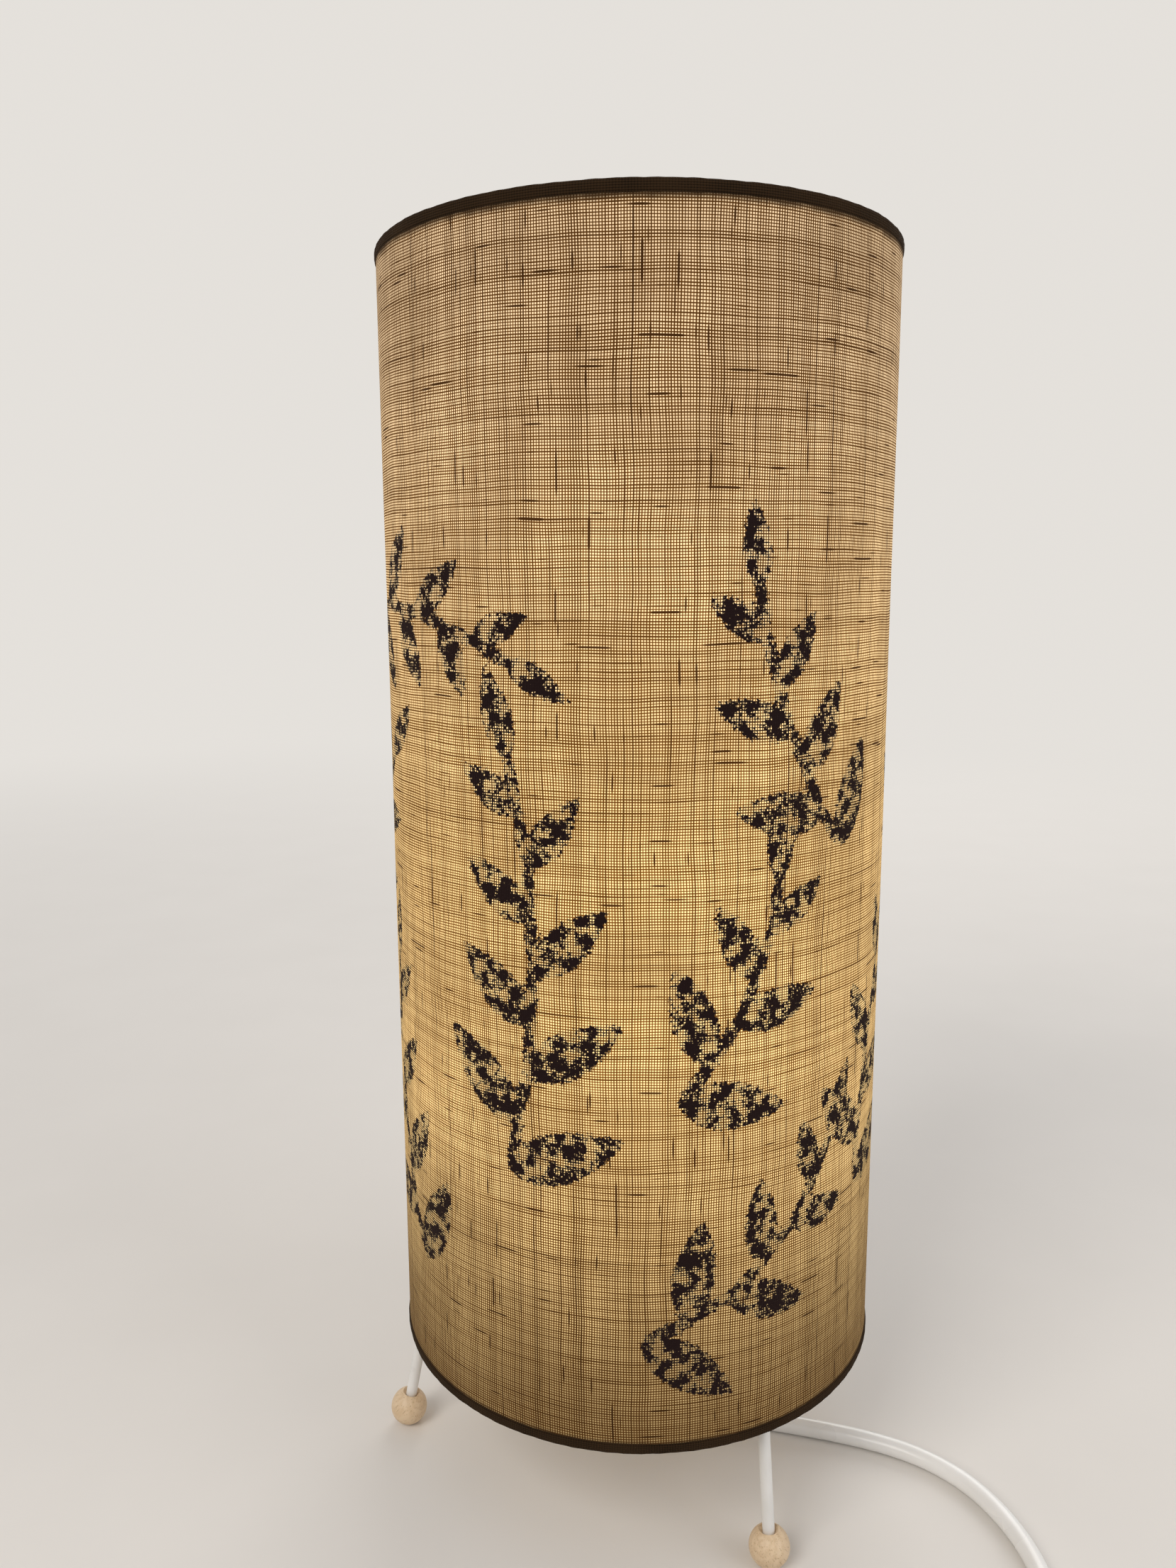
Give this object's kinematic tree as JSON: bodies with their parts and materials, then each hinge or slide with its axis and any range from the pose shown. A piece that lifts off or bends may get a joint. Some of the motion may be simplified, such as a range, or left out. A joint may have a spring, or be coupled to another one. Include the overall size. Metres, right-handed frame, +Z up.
{
  "type": "table lamp",
  "caption": "Table lamp with a tall cylindrical printed linen drum shade that turns on a low tripod of bent wire legs with ball feet, on a white cord with rocker switch and plug.",
  "frame": {"origin": "on the table surface, under the shade's axis", "axes": "+Z up along the shade's axis; +X to the right in the picture; -Y towards the camera, the shade's seam at +Y"},
  "size_m": [0.2137, 0.3107, 0.397],
  "materials": {
    "white_coated_steel": "satin white coating",
    "beech": "turned, clear matt lacquer",
    "zinc_steel": "zinc plated",
    "holder_plastic": "moulded, fine matt",
    "contact_block": "moulded, heat resistant",
    "brass_contacts": "stamped",
    "nickel_cap": "nickel plated",
    "bulb_glass": "clear",
    "bulb_insulator": "vitrified black",
    "filament": "phosphor coated",
    "linen": "open plain weave, natural, dark block print",
    "liner": "clear PVC film",
    "cord_white": "smooth white PVC",
    "switch_white": "moulded white",
    "rocker_white": "moulded white"
  },
  "bodies": {
    "stand": {"left_leg": "white_coated_steel", "front_leg": "white_coated_steel", "rear_leg": "white_coated_steel", "hub": "white_coated_steel", "left_foot": "beech", "front_foot": "beech", "rear_foot": "beech", "hollow_nipple": "zinc_steel", "nipple_washer": "zinc_steel", "nipple_nut": "zinc_steel", "lampholder_grub_screw": "zinc_steel", "clamp_screws": "zinc_steel", "switch_screws": "zinc_steel", "rocker_pin": "zinc_steel", "cord_clamps": "zinc_steel", "lampholder_cap": "holder_plastic", "lampholder_body": "holder_plastic", "shade_ring": "holder_plastic", "cord_bush": "holder_plastic", "lampholder_insert": "contact_block", "lampholder_shell": "brass_contacts", "lampholder_centre_contact": "brass_contacts", "terminal_screws": "brass_contacts", "switch_contacts": "brass_contacts", "bulb_cap": "nickel_cap", "bulb_contact": "nickel_cap", "bulb_filament_wires": "nickel_cap", "plug_pins": "nickel_cap", "bulb_glass": "bulb_glass", "bulb_stem": "bulb_glass", "bulb_insulator": "bulb_insulator", "bulb_driver": "bulb_insulator", "bulb_filaments": "filament", "cord_in_lamp": "cord_white", "supply_wires": "cord_white", "cord_to_switch": "cord_white", "cord_to_coil": "cord_white", "cord_coil": "cord_white", "cord_to_plug": "cord_white", "coil_tie": "cord_white", "plug_body": "cord_white", "switch_base": "switch_white", "switch_cover": "switch_white"},
    "shade": {"shade_linen": "linen", "shade_liner": "liner", "shade_top_ring": "white_coated_steel", "shade_fitter": "white_coated_steel"},
    "rocker": {"switch_rocker": "rocker_white", "contact_bridge": "brass_contacts"}
  },
  "joints": [
    {"name": "shade_turn", "type": "hinge", "parent": "stand", "child": "shade", "pos_m": [0, 0, 0.0795], "axis": [0, 0, 1], "continuous": true},
    {"name": "switch_rocker_tilt", "type": "hinge", "parent": "stand", "child": "rocker", "pos_m": [0.09649, -0.14061, 0.0125], "axis": [-0.866, 0.5, 0], "range_deg": [0, 16]}
  ]
}
